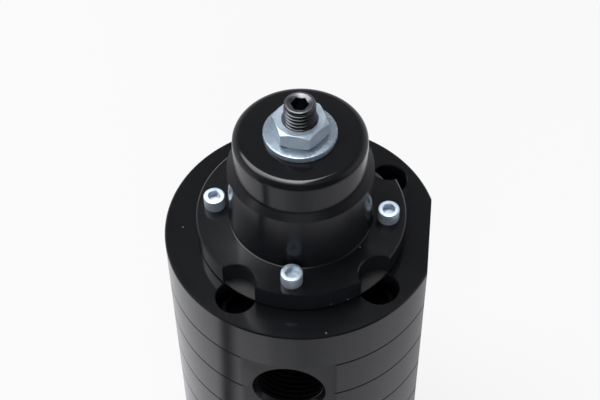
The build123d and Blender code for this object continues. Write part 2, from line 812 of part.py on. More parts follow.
# Terminals: insulated studs through the back of the motor housing
insulator_face = port_flat_y + insulator_flange_t
first_nut = insulator_face + terminal_washer_t
second_washer = first_nut + terminal_nut_h
second_nut = second_washer + terminal_washer_t
shank_end = second_nut + terminal_nut_h + terminal_shoulder
for name, x in (("left", -terminal_x), ("right", terminal_x)):
    with BuildPart() as insulator:
        with BuildSketch(back_face):
            with Locations((-x, terminal_above_base)):
                Circle(insulator_flange_r)
        extrude(amount=insulator_flange_t)
        with BuildSketch(back_face):
            with Locations((-x, terminal_above_base)):
                Circle(insulator_sleeve_r)
        extrude(amount=-(port_flat_y - insulator_inner_y))
        with BuildSketch(side_plane(insulator_inner_y, 90)):
            with Locations((-x, terminal_above_base)):
                Circle(terminal_shank_d / 2 + press_gap)
        extrude(amount=insulator_face, mode=Mode.SUBTRACT)
    save(insulator, f"terminal_insulator_{name}")

    with BuildPart() as stud:
        with BuildSketch(side_plane(insulator_inner_y - terminal_head_t, 90)):
            with Locations((-x, terminal_above_base)):
                Circle(terminal_head_r)
        extrude(amount=terminal_head_t)
        with BuildSketch(side_plane(insulator_inner_y, 90)):
            with Locations((-x, terminal_above_base)):
                Circle(terminal_shank_d / 2)
        extrude(amount=shank_end - insulator_inner_y)
        with BuildSketch(side_plane(shank_end, 90)):
            with Locations((-x, terminal_above_base)):
                Circle(terminal_d / 2)
        extrude(amount=port_flat_y + terminal_out - shank_end)
        chamfer(faces().sort_by(Axis.Y)[-1].edges(), edge_chamfer)
    save(stud, f"terminal_stud_{name}")

with BuildPart() as terminal_washers:
    for y in (insulator_face, second_washer):
        with BuildSketch(side_plane(y, 90)):
            with Locations(*terminal_spots):
                Circle(terminal_washer_r)
                Circle(terminal_shank_d / 2 + press_gap, mode=Mode.SUBTRACT)
        extrude(amount=terminal_washer_t)
save(terminal_washers, "terminal_washers")

with BuildPart() as terminal_nuts:
    for y in (first_nut, second_nut):
        with BuildSketch(side_plane(y, 90)):
            with Locations(*terminal_spots):
                RegularPolygon(terminal_nut_flats / 2, 6, major_radius=False)
                Circle(terminal_shank_d / 2 + press_gap, mode=Mode.SUBTRACT)
        extrude(amount=terminal_nut_h)
save(terminal_nuts, "terminal_nuts")
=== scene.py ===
"""Looks of the diesel fuel lift pump: turned and milled pieces, finishes, studio and camera.

Sizes are millimetres until MM turns them to Blender's metres. +Z is up, +X is the outward
normal of the mounting flat and -Y is the outlet side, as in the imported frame.
"""

import json
from math import cos, pi, radians, sin, sqrt

import bmesh
import bpy
from mathutils import Matrix, Vector


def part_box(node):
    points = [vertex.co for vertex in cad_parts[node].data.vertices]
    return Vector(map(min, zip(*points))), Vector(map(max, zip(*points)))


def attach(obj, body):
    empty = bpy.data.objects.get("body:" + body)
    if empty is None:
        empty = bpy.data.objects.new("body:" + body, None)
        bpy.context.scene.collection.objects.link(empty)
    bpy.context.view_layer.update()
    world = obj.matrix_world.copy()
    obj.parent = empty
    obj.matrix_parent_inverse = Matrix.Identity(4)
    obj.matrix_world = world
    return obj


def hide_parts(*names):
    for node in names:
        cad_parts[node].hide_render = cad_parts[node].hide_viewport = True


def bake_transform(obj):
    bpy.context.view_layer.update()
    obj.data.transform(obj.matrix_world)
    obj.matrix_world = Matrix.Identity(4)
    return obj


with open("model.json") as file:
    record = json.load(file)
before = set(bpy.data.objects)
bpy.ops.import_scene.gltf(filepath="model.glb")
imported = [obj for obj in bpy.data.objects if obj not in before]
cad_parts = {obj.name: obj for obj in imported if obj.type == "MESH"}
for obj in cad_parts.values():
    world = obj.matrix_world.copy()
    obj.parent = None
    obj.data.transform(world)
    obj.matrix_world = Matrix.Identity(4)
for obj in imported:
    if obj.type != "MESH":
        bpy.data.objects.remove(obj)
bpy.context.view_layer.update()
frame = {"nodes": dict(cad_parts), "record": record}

MM = 0.001
STEPS = 192

# Stack of round housing pieces
body_r = 50.8
ring_pitch = 19.05
ring_depth = 0.5
ring_w = 0.8
edge_break = 0.5
flat_x = 47.6
port_flat_y = 47.6
z_motor = 19.05
z_pump = 95.25
z_plate = 152.4
z_top = 171.45
bore_break = 0.35

# Bores of the top plate
chamber_z = 164.45
seat_bore_r = 6.52
seat_bore_z = 162.45
stem_bore_r = 5.02
passage_r = 2.5
passage_y = -15.5
flange_tap_depth = 11.05

# Bores of the pump housing
recess_r = 29.52
recess_z = 101.6
shaft_bore_r = 3.5
rotor_pocket_r = 25.45
rotor_pocket_z = 114.3
rotor_offset = 2.2

# Bores of the motor housing, and the pad milled for the terminals
motor_bore_r = 33.0
web_z = 88.95
seal_bore_r = 8.02
seal_bore_z = 93.95
web_bore_r = 5.0
pad_w = 46
pad_cut = 6
pad_h = 20
pad_corner_r = 3
sleeve_bore_r = 4.52

# Base cap with its spigot and seal groove
base_break = 1.0
spigot_r = 32.98
spigot_z = 27.05
groove_r = 31.0
groove_low = 21.75
groove_high = 24.35
bushing_bore_r = 6.02
bushing_bore_z = 9.525
base_sink = 9.5

# Tapped holes of the mounting flat
mount_tap_y = 12.7
mount_tap_root = 3.3
mount_tap_pitch = 25.4 / 18
pump_tap_z = 123.8
motor_tap_z = 47.6

# Outlet and inlet ports, 1-1/16 inch straight thread
port_z = 133.35
port_bore_r = 12.45
port_thread_r = 13.5
port_pitch = 25.4 / 12
port_depth = 23.0
port_mouth = 2.9
port_inner_y = 23.0
gallery_r = 7.0
gallery_end = 36

# Bolts through the corners of the body
bolt_ring_r = 40.0
bolt_angles = (-120, -40, 40, 120)
bolt_bore_r = 7.145
bolt_r = 3.97
bolt_clear = 4.27
bolt_head_r = 5.95
bolt_head_h = 7.94
bolt_sink = 14.3
bolt_len = 82.55
bolt_pitch = 25.4 / 18
bolt_socket = 6.35
bolt_socket_depth = 4.0
base_screw_len = 22.2

# Bonnet
z_flange = 172.25
diaphragm_bore_r = 2.52
diaphragm_r = 38.3
z_flange_top = 180.25
z_ledge = 207.05
z_cap = 221.6
neck_cone_h = 1.8
z_roof = 211.6
flange_r = 38.6
neck_r = 26.2
cap_r = 23.75
cap_round = 3.0
neck_round = 0.6
spring_bore_r = 18.5
notch_r = 7.5
flange_screw_ring_r = 32.0
flange_screw_r = 2.415
flange_screw_len = 19.05
flange_screw_head_r = 3.96
flange_screw_head_h = 4.83
flange_screw_pitch = 25.4 / 32
flange_screw_socket = 3.97
flange_screw_socket_depth = 2.4

# Adjusting screw, 7/16 inch, its washer and jam nut
screw_r = 5.555
screw_pitch = 25.4 / 16
screw_socket = 5.56
screw_socket_depth = 6.35
z_washer = 223.4
z_nut = 229.75
z_screw = 237.4
screw_len = 31.75
nut_flats = 17.46
nut_turn = -6.0
washer_r = 13.0
washer_bore_r = 5.95

# Terminals on the back
terminal_x = 12.7
terminal_z = 38.0
terminal_shank_r = 3.0
terminal_pin_r = 2.5
terminal_pitch = 0.8
sleeve_end = 25.5
sleeve_r = 4.5
insulator_r = 8.0
insulator_face = 50.6
insulator_round = 0.6
stud_head_end = 23.5
stud_head_r = 4.2
terminal_washer_r = 6.0
terminal_washer_t = 1.0
terminal_nut_flats = 10.0
terminal_nut_h = 4.0
terminal_shank_end = 60.9
terminal_end = 67.6


# ---------------------------------------------------------------- shaping
def spots(radius, angles):
    """Points on a circle about the pump axis."""
    return [(radius * cos(radians(a)), radius * sin(radians(a))) for a in angles]


bolt_spots = spots(bolt_ring_r, bolt_angles)
flange_screw_spots = spots(flange_screw_ring_r, (0, 90, 180, 270))


def arc(centre_r, centre_z, radius, start, end, parts):
    """Profile points along an arc, angles in degrees from the radial direction."""
    step = (end - start) / parts
    angles = [radians(start + step * n) for n in range(parts + 1)]
    return [(centre_r + radius * cos(a), centre_z + radius * sin(a)) for a in angles]


def everything(bm):
    """All the corners, edges and faces of a shape."""
    return bm.verts[:] + bm.edges[:] + bm.faces[:]


def lathe(profile, steps=STEPS, closed=True):
    """Turn a profile of (radius, height) points about the pump axis."""
    bm = bmesh.new()
    row = [bm.verts.new((r * MM, 0, z * MM)) for r, z in profile]
    pairs = list(zip(row, row[1:]))
    if closed:
        pairs.append((row[-1], row[0]))
    edges = [bm.edges.new(pair) for pair in pairs]
    bmesh.ops.spin(bm, geom=row + edges, cent=(0, 0, 0), axis=(0, 0, 1), angle=2 * pi, steps=steps,
                   use_merge=True)
    bmesh.ops.remove_doubles(bm, verts=bm.verts, dist=1e-7)
    open_rims = [e for e in bm.edges if e.is_boundary]
    if open_rims:
        bmesh.ops.holes_fill(bm, edges=open_rims)
    bmesh.ops.recalc_face_normals(bm, faces=bm.faces)
    return bm


def plug(radius, low, high, steps=64, mouth=0.0):
    """A round tool; mouth widens its top end to a 45 degree chamfer."""
    if mouth:
        profile = [(radius, low), (radius, high - mouth), (radius + mouth, high),
                   (radius + mouth, high + 5)]
    else:
        profile = [(radius, low), (radius, high)]
    return lathe(profile, steps, closed=False)


def prism(flats, low, high, turn=0.0):
    """A hexagonal bar across the given flats, one corner at the given angle from +X."""
    bm = bmesh.new()
    bmesh.ops.create_circle(bm, cap_ends=True, radius=flats / sqrt(3) * MM, segments=6)
    bmesh.ops.rotate(bm, verts=bm.verts, cent=(0, 0, 0),
                     matrix=Matrix.Rotation(radians(turn - 90), 3, "Z"))
    bmesh.ops.translate(bm, verts=bm.verts, vec=(0, 0, low * MM))
    raised = bmesh.ops.extrude_face_region(bm, geom=bm.faces[:])["geom"]
    tops = [v for v in raised if isinstance(v, bmesh.types.BMVert)]
    bmesh.ops.translate(bm, verts=tops, vec=(0, 0, (high - low) * MM))
    bmesh.ops.recalc_face_normals(bm, faces=bm.faces)
    return bm


def block(width, depth, height, centre):
    """A rectangular tool."""
    bm = bmesh.new()
    bmesh.ops.create_cube(bm, size=1)
    bmesh.ops.scale(bm, verts=bm.verts, vec=(width * MM, depth * MM, height * MM))
    bmesh.ops.translate(bm, verts=bm.verts, vec=[c * MM for c in centre])
    return bm


def threaded_rod(root, crest, pitch, low, high, steps=96):
    """A screw thread as one helical surface with broad crests, cut square at both ends."""
    bm = bmesh.new()
    turns = int((high - low) / pitch) + 3
    start = low - 1.5 * pitch
    ridge = [(root, 0), (root, 0.1 * pitch), (crest, 0.42 * pitch), (crest, 0.68 * pitch),
             (root, pitch)]
    row = [bm.verts.new((r * MM, 0, (start + z) * MM)) for r, z in ridge]
    edges = [bm.edges.new(pair) for pair in zip(row, row[1:])]
    bmesh.ops.spin(bm, geom=row + edges, cent=(0, 0, 0), axis=(0, 0, 1),
                   dvec=(0, 0, pitch * MM / steps), angle=2 * pi * turns, steps=steps * turns,
                   use_merge=False)
    bmesh.ops.remove_doubles(bm, verts=bm.verts, dist=1e-7)
    for level, side in ((low, -1), (high, 1)):
        bmesh.ops.bisect_plane(bm, geom=everything(bm), plane_co=(0, 0, level * MM),
                               plane_no=(0, 0, side), clear_outer=True)
        rim = [e for e in bm.edges if e.is_boundary and abs(e.verts[0].co.z - level * MM) < 1e-7]
        bmesh.ops.holes_fill(bm, edges=rim)
    bmesh.ops.recalc_face_normals(bm, faces=bm.faces)
    return bm


def moved(bm, x=0.0, y=0.0, z=0.0):
    """The same shape, shifted in millimetres."""
    bmesh.ops.translate(bm, verts=bm.verts, vec=(x * MM, y * MM, z * MM))
    return bm


def laid(bm, axis, angle):
    """The same shape, turned about one of the frame's axes."""
    bmesh.ops.rotate(bm, verts=bm.verts, cent=(0, 0, 0),
                     matrix=Matrix.Rotation(radians(angle), 3, axis))
    return bm


def drawn_in(bm, allowed):
    """The same shape, squeezed wherever it reaches beyond the radius allowed at its height."""
    for vert in bm.verts:
        reach = vert.co.xy.length / MM
        limit = allowed(vert.co.z / MM)
        if reach > limit:
            vert.co.xy *= limit / reach
    return bm


def joined(shapes):
    """Several shapes as one."""
    whole = bmesh.new()
    for bm in shapes:
        part = bpy.data.meshes.new("part")
        bm.to_mesh(part)
        bm.free()
        whole.from_mesh(part)
        bpy.data.meshes.remove(part)
    return whole


def as_object(bm, name):
    """A Blender object holding the shape."""
    mesh = bpy.data.meshes.new(name)
    bm.to_mesh(mesh)
    bm.free()
    thing = bpy.data.objects.new(name, mesh)
    bpy.context.scene.collection.objects.link(thing)
    return thing


def milled(stock, tools, operation="DIFFERENCE"):
    """The stock with each tool's shape cut away, or kept where operation is INTERSECT."""
    work = as_object(stock, "stock")
    cutters = [as_object(tool, "cutter") for tool in tools]
    for cutter in cutters:
        step = work.modifiers.new("cut", "BOOLEAN")
        step.operation = operation
        step.solver = "EXACT"
        step.object = cutter
    bpy.context.view_layer.update()
    depsgraph = bpy.context.evaluated_depsgraph_get()
    result = bpy.data.meshes.new_from_object(work.evaluated_get(depsgraph))
    bm = bmesh.new()
    bm.from_mesh(result)
    for thing in [work] + cutters:
        bpy.data.objects.remove(thing)
    bpy.data.meshes.remove(result)
    return bm


def flatten(bm, point, normal):
    """Mill a flat: everything beyond the plane goes, and the cut is closed."""
    bmesh.ops.bisect_plane(bm, geom=everything(bm), plane_co=[c * MM for c in point],
                           plane_no=normal, clear_outer=True)
    bmesh.ops.holes_fill(bm, edges=[e for e in bm.edges if e.is_boundary])
    bmesh.ops.recalc_face_normals(bm, faces=bm.faces)
    return bm


def wall_with_rings(low, high, low_break=0.0, high_break=0.0):
    """Outside profile of a housing piece, from low to high, with its turned ring marks."""
    line = [(body_r - low_break, low), (body_r, low + low_break)] if low_break else []
    levels = [z_top - ring_pitch * n for n in range(1, 9)]
    for level in sorted(z for z in levels if low - 0.1 < z < high + 0.1):
        if level > low + 0.1:
            line.append((body_r, level - ring_w / 2))
        line.append((body_r - ring_depth, level))
        if level < high - 0.1:
            line.append((body_r, level + ring_w / 2))
    line += [(body_r, high - high_break), (body_r - high_break, high)] if high_break else []
    return line


def black_finish(polygon, node):
    """The black finish of one face: a darker, duller copy deep in a port as painted shade, faced
    where level, coarser on the neck.
    """
    x, y, z = (c / MM for c in polygon.center)
    in_port = Vector((x, z - port_z)).length < port_thread_r
    if in_port and port_inner_y < abs(y) < port_flat_y - port_mouth:
        return port_painted_shade_black
    if abs(polygon.normal.z) > 0.9:
        return anodised_step if node == "bonnet" and z < z_ledge else anodised_face
    outside = polygon.center.xy.length / MM > cap_r
    on_neck = outside and z_flange_top < z < z_ledge - neck_cone_h
    return anodised_neck if on_neck else anodised


def finished(bm, name, node, material, crisp=28):
    """Shade the shape, give it its finish and put it on the body of the node it stands for."""
    piece = as_object(bm, name)
    piece.data.shade_smooth()
    piece.data.set_sharp_from_angle(angle=radians(crisp))
    piece.data.materials.append(material)
    if material is anodised:
        for finish in black_finishes[1:]:
            piece.data.materials.append(finish)
        for polygon in piece.data.polygons:
            polygon.material_index = black_finishes.index(black_finish(polygon, node))
    bodies = frame["record"]["behaviour"]["bodies"]
    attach(piece, next(body for body, nodes in bodies.items() if node in nodes))
    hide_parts(node)


# ---------------------------------------------------------------- finishes
def linear(hex_colour):
    """An sRGB hex colour as linear RGBA."""
    parts = [int(hex_colour[i:i + 2], 16) / 255 for i in (1, 3, 5)]
    return [c / 12.92 if c <= 0.04045 else ((c + 0.055) / 1.055) ** 2.4 for c in parts] + [1]


def add(tree, kind, settings=None, links=None, **inputs):
    """One node with its settings, its input values, and links given as {input: (node, output)}."""
    node = tree.nodes.new(kind)
    for key, value in (settings or {}).items():
        setattr(node, key, value)
    for key, value in inputs.items():
        node.inputs[key.replace("_", " ")].default_value = value
    for key, (source, output) in (links or {}).items():
        tree.links.new(source.outputs[output], node.inputs[key])
    return node


def feed(tree, node, **sources):
    """Links into named inputs of a node, each source given as (node, output)."""
    for key, (source, output) in sources.items():
        tree.links.new(source.outputs[output], node.inputs[key.replace("_", " ")])


def new_material(name, **values):
    """A material with a principled shader, and the coordinates that every pattern needs."""
    material = bpy.data.materials.new(name)
    material.use_nodes = True
    tree = material.node_tree
    shader = tree.nodes["Principled BSDF"]
    for key, value in values.items():
        shader.inputs[key.replace("_", " ")].default_value = value
    place = add(tree, "ShaderNodeTexCoord")
    return material, tree, shader, place


def ramp(tree, source, output, stops):
    """A colour ramp over stops of (position, hex colour)."""
    node = add(tree, "ShaderNodeValToRGB", links={"Fac": (source, output)})
    points = node.color_ramp.elements
    while len(points) < len(stops):
        points.new(0.5)
    for point, (position, colour) in zip(points, stops):
        point.position = position
        point.color = linear(colour)
    return node


def level_between(tree, source, output, start, end, low=0.0, high=1.0, kind="SMOOTHSTEP"):
    """A step from low to high between two values, soft unless kind says LINEAR."""
    return add(tree, "ShaderNodeMapRange", {"interpolation_type": kind},
               {"Value": (source, output)},
               From_Min=start, From_Max=end, To_Min=low, To_Max=high)


def noise(tree, place, size_mm, detail):
    """Cloudy noise with patches of about the given size."""
    return add(tree, "ShaderNodeTexNoise", links={"Vector": (place, "Object")},
               Scale=1 / (size_mm * MM), Detail=detail)


def relief(tree, source, output, strength, depth_mm):
    """A bump of the given depth."""
    return add(tree, "ShaderNodeBump", links={"Height": (source, output)}, Strength=strength,
               Distance=depth_mm * MM)


def turned_marks(tree, place, per_mm, depth_mm, roughness):
    """Fine circular tool marks, on faces and on walls, as a bump of the given depth."""
    split = add(tree, "ShaderNodeSeparateXYZ", links={"Vector": (place, "Object")})
    level = add(tree, "ShaderNodeVectorMath", {"operation": "MULTIPLY"}, {0: (place, "Object")})
    level.inputs[1].default_value = (1, 1, 0)
    reach = add(tree, "ShaderNodeVectorMath", {"operation": "LENGTH"}, {0: (level, "Vector")})
    along = add(tree, "ShaderNodeMath", {"operation": "ADD"},
                {0: (reach, "Value"), 1: (split, "Z")})
    across = add(tree, "ShaderNodeCombineXYZ", links={"X": (along, "Value")})
    marks = add(tree, "ShaderNodeTexNoise", {"noise_dimensions": "3D"},
                {"Vector": (across, "Vector")}, Scale=per_mm / MM, Detail=3.0, Roughness=roughness)
    return relief(tree, marks, "Fac", 1.0, depth_mm)


# Small nicks through the anodising to bare metal, each at (x, y, z) with its radius
nicks = (
    (22.8, -14.8, 180.25, 0.28),
    (20.1, -33.0, 172.8, 0.3),
    (14.3, -35.9, 173.3, 0.22),
    (13.6, -47.1, 171.45, 0.3),
    (-43.7, -5.0, 171.45, 0.3),
)


def black_anodised(name, low, high, drawn):
    """Black anodised aluminium: near black, its gloss drawn out by fine lathe marks."""
    material, tree, shader, place = new_material(name, IOR=1.35, Anisotropic=drawn,
                                                 Anisotropic_Rotation=0.25)
    cloud = noise(tree, place, 6, 4.0)
    tint = ramp(tree, cloud, "Fac", ((0.3, "#101113"), (0.7, "#131417")))
    satin = level_between(tree, cloud, "Fac", 0.0, 1.0, low, high, "LINEAR")
    marks = turned_marks(tree, place, 2.5, 0.0008, 0.6)
    for *point, size in nicks:
        gap = add(tree, "ShaderNodeVectorMath", {"operation": "DISTANCE"}, {0: (place, "Object")})
        gap.inputs[1].default_value = [c * MM for c in point]
        worn = level_between(tree, gap, "Value", size * 0.6 * MM, size * MM, 1.0, 0.0)
        tint = add(tree, "ShaderNodeMixRGB",
                   links={"Fac": (worn, "Result"), "Color1": (tint, "Color")},
                   Color2=linear("#8E9092"))
    grain = add(tree, "ShaderNodeTangent", {"direction_type": "RADIAL", "axis": "Z"})
    feed(tree, shader, Base_Color=(tint, "Color"), Roughness=(satin, "Result"),
         Normal=(marks, "Normal"), Tangent=(grain, "Tangent"))
    return material


def plated_steel(name, dull, bright, rough, marks_mm=0.004, metal=1.0):
    """Plated steel with an uneven skin; metal below 1 gives the milky film of passivated zinc."""
    material, tree, shader, place = new_material(name, Metallic=metal)
    cloud = noise(tree, place, 2.2, 5.0)
    tint = ramp(tree, cloud, "Fac", ((0.32, dull), (0.68, bright)))
    satin = level_between(tree, cloud, "Fac", 0.0, 1.0, rough, rough + 0.12, "LINEAR")
    bump = relief(tree, noise(tree, place, 0.5, 3.0), "Fac", 0.6, marks_mm)
    feed(tree, shader, Base_Color=(tint, "Color"), Roughness=(satin, "Result"),
         Normal=(bump, "Normal"))
    return material


def plain_metal(name, dark, light, rough, grain_mm):
    """A machined or cast metal with faint colour drift and tool marks."""
    material, tree, shader, place = new_material(name, Metallic=1.0, Roughness=rough)
    tint = ramp(tree, noise(tree, place, grain_mm, 4.0), "Fac", ((0.3, dark), (0.7, light)))
    marks = turned_marks(tree, place, 4.0, 0.002, 0.5)
    feed(tree, shader, Base_Color=(tint, "Color"), Normal=(marks, "Normal"))
    return material


def dull_solid(name, dark, light, rough, grain_mm, depth_mm, gloss=0.5):
    """A non-metal with a fine grain, such as ferrite, carbon or moulded phenolic."""
    material, tree, shader, place = new_material(name, Roughness=rough, Specular_IOR_Level=gloss)
    grain = noise(tree, place, grain_mm, 4.0)
    tint = ramp(tree, grain, "Fac", ((0.3, dark), (0.7, light)))
    bump = relief(tree, grain, "Fac", 1.0, depth_mm)
    feed(tree, shader, Base_Color=(tint, "Color"), Normal=(bump, "Normal"))
    return material


def coated_fabric():
    """Rubber coated diaphragm fabric: matt black, the weave of 0.6 mm threads showing through."""
    material, tree, shader, place = new_material("rubber_coated_fabric", Roughness=0.5,
                                                 Specular_IOR_Level=0.3)
    threads = [add(tree, "ShaderNodeTexWave", {"bands_direction": direction},
                   {"Vector": (place, "Object")}, Scale=2 * pi / (20 * 0.6 * MM), Distortion=0.4)
               for direction in ("X", "Y")]
    weave = add(tree, "ShaderNodeMath", {"operation": "MULTIPLY"},
                {0: (threads[0], "Fac"), 1: (threads[1], "Fac")})
    tint = ramp(tree, weave, "Value", ((0.0, "#08090A"), (1.0, "#0C0D0E")))
    bump = relief(tree, weave, "Value", 0.5, 0.05)
    feed(tree, shader, Base_Color=(tint, "Color"), Normal=(bump, "Normal"))
    return material


# Housing and bonnet: satin walls with upright streaks, glossier level faces, a satin step, a neck
# whose coarser marks smear what it mirrors, and a darker, duller copy in the ports, painted shade
# so that they read as dark holes
anodised = black_anodised("black_anodised_aluminium", 0.13, 0.17, 0.5)
anodised_face = black_anodised("faced_black_anodised", 0.1, 0.13, 0.0)
anodised_step = black_anodised("satin_faced_black_anodised", 0.15, 0.18, 0.0)
anodised_neck = black_anodised("coarse_turned_black_anodised", 0.14, 0.17, 0.9)
# Painted shade: a darker copy of the black anodising for the deep part of each port
port_painted_shade_black = dull_solid("unpolished_black_anodised", "#070708", "#09090A", 0.7, 0.8, 0.004, 0.12)
black_finishes = (anodised, anodised_face, anodised_neck, port_painted_shade_black, anodised_step)

# Fasteners: bluish silver washer, nut and flange screws against the black, the nut and screws in
# lighter copies of the washer's zinc as painted light, a grey adjusting screw, and body bolts and
# base screws in a near black copy of the black oxide, painted shade that keeps them dark in their
# bores
zinc = plated_steel("zinc_plated_steel", "#84929F", "#8D9AA6", 0.2, 0.0006, 0.6)
# The zinc's own bluish silver, made lighter than the washer's as painted light on the nut's front
# faces
nut_zinc_painted_light = plated_steel("streaked_zinc_plated_steel", "#9CACBB", "#ABB8C4", 0.24, 0.0015, 0.45)
# The zinc's own bluish silver, made lighter still as painted light on the tops of the flange screw
# heads
head_zinc_painted_light = plated_steel("bright_zinc_plated_steel", "#B3C2D0", "#C2CFDB", 0.36, 0.001, 0.8)
black_oxide = plated_steel("black_oxide_steel", "#46484B", "#56585B", 0.26, 0.006)
# Painted shade: a near black copy of the black oxide, so the bolt heads stay dark deep in their
# bores
black_oxide_painted_shade = plated_steel("oiled_black_oxide", "#040405", "#070708", 0.45, 0.006)

# Diaphragm and seals: matt blacks
fabric = coated_fabric()
rubber = dull_solid("black_rubber", "#121212", "#1A1A1A", 0.55, 0.8, 0.01)

# Inside: bright springs and machined steel, the yellow and brown of brass, bronze and enamelled
# copper wire, and the dull greys of magnets, brushes and moulded insulation
spring_steel = plain_metal("bright_steel", "#8C8E91", "#A3A5A8", 0.28, 3.0)
machined_steel = plain_metal("machined_steel", "#7E8083", "#96989B", 0.35, 4.0)
brass = plain_metal("brass", "#B08D4A", "#C6A25C", 0.3, 4.0)
bronze = plain_metal("sintered_bronze", "#7C5A36", "#94704A", 0.5, 0.6)
copper = plain_metal("enamelled_copper", "#8A4626", "#B0613A", 0.3, 1.2)
ferrite = dull_solid("ferrite", "#262628", "#303032", 0.6, 0.5, 0.01)
carbon = dull_solid("carbon_brush", "#1C1C1D", "#29292A", 0.5, 0.3, 0.008)
phenolic = dull_solid("black_phenolic", "#17130F", "#201B16", 0.35, 1.5, 0.01)

slot_finish = {
    "black_anodised_aluminium": anodised,
    "zinc_plated_steel": zinc,
    "black_oxide_steel": black_oxide,
    "black_rubber": rubber,
    "bright_steel": spring_steel,
    "machined_steel": machined_steel,
    "brass": brass,
    "sintered_bronze": bronze,
    "copper": copper,
    "ferrite": ferrite,
    "carbon": carbon,
    "black_phenolic": phenolic,
}
for thing in frame["nodes"].values():
    names = [m.name.split(".")[0] for m in thing.data.materials]
    finish = slot_finish[next(s for s in slot_finish if any(s in n for n in names))]
    thing.data.materials.clear()
    thing.data.materials.append(finish)


# ---------------------------------------------------------------- springs between moving pieces
def flexing_spring(name, node, kept=None):
    """A copy of a spring, shaded in bright steel, standing still where the spring stands.

    Of a spring shared by two movers, kept gives the half: a point on the cut and the way to it.
    """
    bm = bmesh.new()
    bm.from_mesh(frame["nodes"][node].data)
    bm.transform(frame["nodes"][node].matrix_world)
    if kept:
        cut = bmesh.ops.bisect_plane(bm, geom=everything(bm), plane_co=kept[0], plane_no=kept[1],
                                     clear_inner=True)
        edges = [e for e in cut["geom_cut"] if isinstance(e, bmesh.types.BMEdge)]
        bmesh.ops.triangle_fill(bm, edges=edges, use_beauty=True)
        bmesh.ops.recalc_face_normals(bm, faces=bm.faces)
    piece = as_object(bm, name)
    piece.data.shade_smooth()
    piece.data.set_sharp_from_angle(angle=radians(40))
    piece.data.materials.append(spring_steel)
    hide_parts(node)
    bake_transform(piece)


low, high = (Vector(corner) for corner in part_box("regulator_spring"))
middle = Vector((0, 0, (low.z + high.z) / 2))
flexing_spring("regulator_spring_upper", "regulator_spring",
               (middle, Vector((0, 0, 1))))
flexing_spring("regulator_spring_lower", "regulator_spring",
               (middle, Vector((0, 0, -1))))
for number in (1, 2):
    low, high = (Vector(corner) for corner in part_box(f"brush_spring_{number}"))
    inner, outer = sorted((low, high), key=lambda corner: abs(corner.x))
    flexing_spring(f"brush_spring_{number}_coil", f"brush_spring_{number}")


# ---------------------------------------------------------------- housing
def drills(points, radius, low, high, steps=48, mouth=0.0):
    """The same round tool at each of several points."""
    return joined([moved(plug(radius, low, high, steps, mouth), *point) for point in points])


def mounting_taps(z):
    """Threaded tools for a pair of tapped holes in the mounting flat."""
    taps = []
    for y in (-mount_tap_y, mount_tap_y):
        rod = threaded_rod(mount_tap_root, bolt_r, mount_tap_pitch, -12, 1, 40)
        taps.append(moved(laid(rod, "Y", 90), flat_x, y, z))
    return joined(taps)


# Top plate: anodised disc with the diaphragm chamber, the valve seat bore and four counterbores
plate_profile = [(stem_bore_r, z_plate)] + wall_with_rings(z_plate, z_top, high_break=edge_break)
plate_profile += [(spring_bore_r, z_top), (spring_bore_r, chamber_z), (seat_bore_r, chamber_z),
                  (seat_bore_r, seat_bore_z), (stem_bore_r, seat_bore_z)]
plate = milled(
    flatten(lathe(plate_profile), (flat_x, 0, 0), (1, 0, 0)),
    [
        drills(bolt_spots, bolt_bore_r, z_top - bolt_sink, z_top, 72, bore_break),
        drills(bolt_spots, bolt_clear, z_plate - 1, z_top),
        drills(flange_screw_spots, flange_screw_r + 0.05, z_top - flange_tap_depth, z_top + 1, 32),
        moved(plug(passage_r, z_plate - 1, chamber_z + 1, 32), 0, passage_y),
    ],
)
finished(plate, "top_plate_turned", "top_plate", anodised)

# Pump housing: threaded ports on their milled flats, rotor pocket below
pump_profile = [(recess_r, z_pump)] + wall_with_rings(z_pump, z_plate)
pump_profile += [(shaft_bore_r, z_plate), (shaft_bore_r, recess_z), (recess_r, recess_z)]
pump = flatten(lathe(pump_profile), (flat_x, 0, 0), (1, 0, 0))
flatten(pump, (0, -port_flat_y, 0), (0, -1, 0))
flatten(pump, (0, port_flat_y, 0), (0, 1, 0))


def port_tools(side):
    """Thread, mouth and gallery of the port on one side, side -1 being the outlet."""
    thread = threaded_rod(port_bore_r, port_thread_r - 0.1, port_pitch, -port_depth, -2.4, 96)
    mouth = lathe([(0, -2.8), (port_bore_r - 0.1, -2.8), (port_thread_r + 0.2, 0),
                   (port_thread_r + 0.2, 1), (0, 1)], 96, closed=False)
    gallery = plug(gallery_r, -gallery_end, -port_depth + 1, 64)
    return [moved(laid(bm, "X", -90 * side), 0, side * port_flat_y, port_z)
            for bm in (thread, mouth, gallery)]


pump = milled(
    pump,
    port_tools(-1) + port_tools(1) + [
        moved(plug(rotor_pocket_r, recess_z - 1, rotor_pocket_z, 128), rotor_offset, 0),
        drills(bolt_spots, bolt_clear, z_pump - 1, z_plate + 1),
        mounting_taps(pump_tap_z),
    ],
)
finished(pump, "pump_housing_milled", "pump_housing", anodised)

